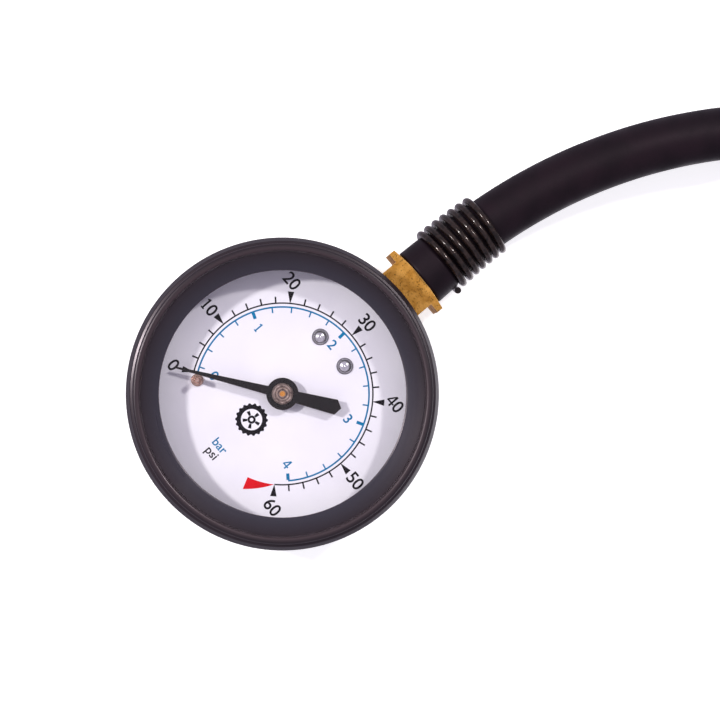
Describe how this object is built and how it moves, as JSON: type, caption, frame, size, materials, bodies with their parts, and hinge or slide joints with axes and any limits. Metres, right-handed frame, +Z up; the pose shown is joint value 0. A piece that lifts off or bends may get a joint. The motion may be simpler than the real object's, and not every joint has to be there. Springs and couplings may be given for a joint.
{
  "type": "dial tyre pressure gauge",
  "caption": "Round dial pressure gauge in a black bezel, with a brass stem, a short rubber hose in an arch, spring guards and a push-on tyre chuck.",
  "frame": {"origin": "centre of the flat case back, on the pointer's axis", "axes": "+Z up the stem, the dial faces -Y, +X to the dial's right; +Y is the case back's outward normal"},
  "size_m": [0.1713, 0.03, 0.1808],
  "materials": {
    "bezel_black": "satin",
    "case_black": "satin",
    "lens_clear": "gloss",
    "gasket_rubber": "matte",
    "dial_white": "matte",
    "bright_steel": "gloss",
    "rose_brass": "satin",
    "pointer_black": "matte",
    "bush_metal": "satin",
    "socket_brass": "satin",
    "hose_rubber": "satin",
    "guard_steel": "gloss",
    "seal_rubber": "matte",
    "screw_steel": "satin",
    "movement_brass": "satin",
    "pivot_steel": "satin",
    "spindle_brass": "satin",
    "tube_bronze": "satin"
  },
  "bodies": {
    "gauge": {"case": "case_black", "bezel": "bezel_black", "window": "lens_clear", "window_gasket": "gasket_rubber", "case_screws": "screw_steel", "blowout_plug": "gasket_rubber", "dial": "dial_white", "dial_rivets": "bright_steel", "stop_pin": "rose_brass", "socket": "socket_brass", "restrictor": "socket_brass", "stem_grommet": "gasket_rubber", "hose": "hose_rubber", "spring_guard": "guard_steel", "movement_back_plate": "movement_brass", "movement_front_plate": "movement_brass", "movement_pillars": "movement_brass", "plate_screws": "pivot_steel", "movement_screws": "pivot_steel", "hairspring": "tube_bronze", "hairspring_stud": "movement_brass"},
    "pointer": {"pointer": "pointer_black", "pointer_bushing": "bush_metal", "pinion": "spindle_brass", "hairspring_collet": "movement_brass"},
    "sector": {"sector_gear": "movement_brass", "sector_arbor": "pivot_steel", "sector_link_pin": "pivot_steel"},
    "tube": {"bourdon_tube": "tube_bronze", "tube_tip": "movement_brass", "tip_link_pin": "pivot_steel"},
    "link": {"link": "movement_brass"},
    "chuck": {"chuck_body": "socket_brass", "chuck_nose": "socket_brass", "chuck_seal": "seal_rubber", "valve_depressor": "socket_brass", "chuck_spring_guard": "guard_steel"}
  },
  "joints": [
    {"name": "pointer_turn", "type": "hinge", "parent": "gauge", "child": "pointer", "pos_m": [0, -0.01, 0], "axis": [0, 1, 0], "range_deg": [0, 270], "stiffness_Nm_per_rad": 0.00005, "deforming": ["hairspring"]},
    {"name": "sector_turn", "type": "hinge", "parent": "gauge", "child": "sector", "pos_m": [0.00675, -0.01, -0.01169], "axis": [0, 1, 0], "range_deg": [-33.76, 0]},
    {"name": "tube_flex", "type": "hinge", "parent": "gauge", "child": "tube", "pos_m": [-0.0061, -0.01, 0.02218], "axis": [0, 1, 0], "range_deg": [-3.76, 0], "deforming": ["bourdon_tube"]},
    {"name": "link_swing", "type": "hinge", "parent": "tube", "child": "link", "pos_m": [0.01434, -0.01, -0.01212], "axis": [0, 1, 0], "range_deg": [0, 3.76]},
    {"name": "hose_bend", "type": "hinge", "parent": "gauge", "child": "chuck", "pos_m": [0.007, -0.01, 0.088], "axis": [0, 1, 0], "range_deg": [-15, 15], "stiffness_Nm_per_rad": 1, "deforming": ["hose"]}
  ],
  "couplings": [
    {"joint": "sector_turn", "follows": "pointer_turn", "ratio": -0.125},
    {"joint": "tube_flex", "follows": "pointer_turn", "ratio": -0.013889},
    {"joint": "link_swing", "follows": "pointer_turn", "ratio": 0.013889}
  ]
}
